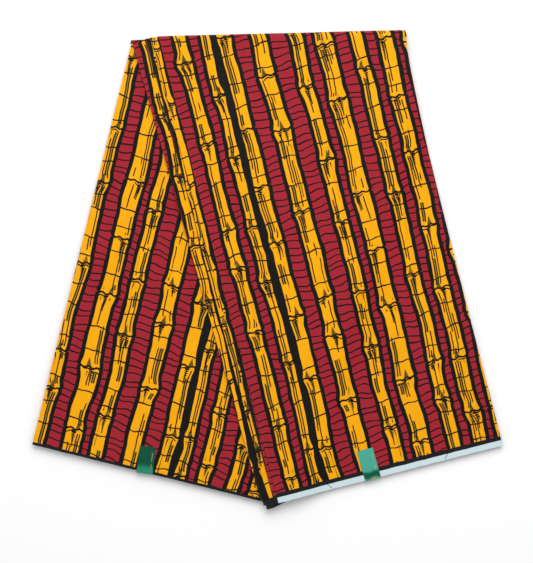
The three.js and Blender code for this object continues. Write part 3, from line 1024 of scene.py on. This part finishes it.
class WAXPRINT_OT_back_leg(bpy.types.Operator):
    """Adds the back leg: its hidden pairs and the pair that shows"""

    bl_idname = "wax_print.back_leg"
    bl_label = "Back leg"

    def execute(self, context):
        parts = []
        for index, insets in enumerate(BACK_HIDDEN):
            bottom = BACK_TOP - index * PITCH - PAIR
            parts.append(back_pair(back_start(index + 1), bottom=bottom, rows=40, columns=28, **insets))
        stack = mesh_object("back_leg_layers", *joined(parts))
        print_below = cloth_material("hidden print", HIDDEN_SHIFT, band=HIDDEN_BORDER)
        settle(stack, print_below, "back_stack")
        shell = back_pair(BACK_START, 0, 0, BACK_FACE, rows=96, columns=56, short=GAP, face=True)
        face = mesh_object("back_leg_face", *shell)
        settle(face, cloth_material("back print", BACK_SHIFT, band=BACK_BORDER), "back_face")
        return {"FINISHED"}


class WAXPRINT_OT_front_leg(bpy.types.Operator):
    """Adds the front leg: its hidden pairs, the three pleats that step out and the face"""

    bl_idname = "wax_print.front_leg"
    bl_label = "Front leg"

    def execute(self, context):
        parts = [front_pair(pair, index + 1, 64, 34) for index, pair in enumerate(FRONT_HIDDEN)]
        stack = mesh_object("front_leg_layers", *joined(parts))
        settle(stack, bpy.data.materials["hidden print"], "front_stack")
        for index, (name, pair) in enumerate(FRONT_PAIRS.items()):
            level = len(FRONT_HIDDEN) + 1 + index
            is_face = name == "front_face"
            shell = front_pair(pair, level, 110, 60 if is_face else 44, fitted=is_face)
            piece = mesh_object("front_leg_face" if is_face else name + "_cloth", *shell)
            bare, band = (SELVEDGE_FRONT, FACE_BORDER) if is_face else (0.0, PLEAT_BORDER)
            material = cloth_material(name.replace("_", " ") + " print", pair["shift"], bare, band)
            settle(piece, material, name)
        return {"FINISHED"}


# The labels, in millimetres and degrees. The lower end goes down in the steps of the bend.
LABEL_WIDTH = 20.6
LABEL_THICKNESS = 0.3
LABEL_OVERHANG = 1.0
LABEL_CLEAR = 0.12
LABEL_BEND = [(0, -0.22, -0.1), (0, -0.12, -0.3), (0, -0.02, -0.5), (0, 0, -0.6)]
# Painted light and shade: both labels are the same foil. The front one is given lighter colours and the back
# one darker colours, for how each catches the light. The back label's lighter lower part is painted sheen.
LABELS = {
    "label_front": dict(
        place=dict(foot=front_hem(171.1), level=FRONT_LEVELS * PITCH, reach=38.5, turn=FRONT_LEAN + 1.5),
        foil=dict(colour=linear(78, 176, 152), shaded_colour=linear(8, 92, 68), band=(0.15, 0.04, 0.12), glow=0.5),
    ),
    "label_back": dict(
        place=dict(foot=back_hem(147.9), level=BACK_FACE + PITCH, reach=33.5, turn=6.4 - BACK_LEAN),
        foil=dict(colour=linear(44, 146, 116), shaded_colour=linear(8, 84, 60), band=(0.7, 0.32, 0.3), glow=0.0),
    ),
}


def add_label(name, foot, level, reach, turn):
    """One foil label: flat on the leg, its lower end bent down over the hem."""
    length = reach + LABEL_OVERHANG
    bpy.ops.object.select_all(action="DESELECT")
    bpy.ops.mesh.primitive_grid_add(x_subdivisions=8, y_subdivisions=12, size=1, location=(0, 0, 0))
    piece = bpy.context.object
    piece.name = name
    bpy.ops.object.mode_set(mode="EDIT")
    bpy.ops.mesh.select_all(action="SELECT")
    bpy.ops.transform.resize(value=(LABEL_WIDTH * MM, length * MM, 1))
    bpy.ops.transform.translate(value=(0, (length / 2 - LABEL_OVERHANG) * MM, 0))
    bpy.ops.object.mode_set(mode="OBJECT")
    mesh = piece.data
    low = min(vertex.co.y for vertex in mesh.vertices)
    for item in (*mesh.vertices, *mesh.edges, *mesh.polygons):
        item.select = False
    for edge in mesh.edges:
        edge.select = all(abs(mesh.vertices[end].co.y - low) < 1e-6 for end in edge.vertices)
    for vertex in mesh.vertices:
        vertex.select = abs(vertex.co.y - low) < 1e-6
    bpy.ops.object.mode_set(mode="EDIT")
    bpy.ops.mesh.select_mode(type="EDGE")
    for move in LABEL_BEND:
        step = tuple(part * MM for part in move)
        bpy.ops.mesh.extrude_region_move(TRANSFORM_OT_translate={"value": step})
    bpy.ops.object.mode_set(mode="OBJECT")
    piece.rotation_euler.z = math.radians(turn)
    piece.location = (foot[0] * MM, foot[1] * MM, (level + LABEL_CLEAR) * MM)
    bpy.ops.object.transform_apply(location=True, rotation=True, scale=True)
    thick = piece.modifiers.new("thickness", "SOLIDIFY")
    thick.thickness = LABEL_THICKNESS * MM
    thick.offset = 1
    bpy.ops.object.modifier_apply(modifier="thickness")
    return piece


class WAXPRINT_OT_labels(bpy.types.Operator):
    """Adds the two plain green foil labels at the hems"""

    bl_idname = "wax_print.labels"
    bl_label = "Labels"

    def execute(self, context):
        for name, facts in LABELS.items():
            piece = add_label(name + "_foil", **facts["place"])
            settle(piece, foil_material(name.replace("_", " ") + " foil", **facts["foil"]), name)
        return {"FINISHED"}


class WAXPRINT_PT_panel(bpy.types.Panel):
    """Lists the steps that build the cloth"""

    bl_label = "Wax Print"
    bl_idname = "WAXPRINT_PT_panel"
    bl_space_type = "VIEW_3D"
    bl_region_type = "UI"
    bl_category = "Wax Print"

    def draw(self, context):
        for settings in (context.scene.wax_print_colours, context.scene.wax_print_stage):
            for name in settings.bl_rna.properties.keys():
                if name not in ("rna_type", "name"):
                    self.layout.prop(settings, name)
        for step in STEPS:
            self.layout.operator(step.bl_idname)


STEPS = [WAXPRINT_OT_stage, WAXPRINT_OT_finishes]
STEPS += [WAXPRINT_OT_back_leg, WAXPRINT_OT_front_leg, WAXPRINT_OT_labels]
CLASSES = [WaxPrintColours, WaxPrintStage, *STEPS, WAXPRINT_PT_panel]


def register():
    for each in CLASSES:
        bpy.utils.register_class(each)
    bpy.types.Scene.wax_print_colours = bpy.props.PointerProperty(type=WaxPrintColours)
    bpy.types.Scene.wax_print_stage = bpy.props.PointerProperty(type=WaxPrintStage)


def unregister():
    del bpy.types.Scene.wax_print_stage
    del bpy.types.Scene.wax_print_colours
    for each in reversed(CLASSES):
        bpy.utils.unregister_class(each)


def main():
    register()
    for step in STEPS:
        area, name = step.bl_idname.split(".")
        getattr(getattr(bpy.ops, area), name)()


if __name__ == "__main__":
    main()
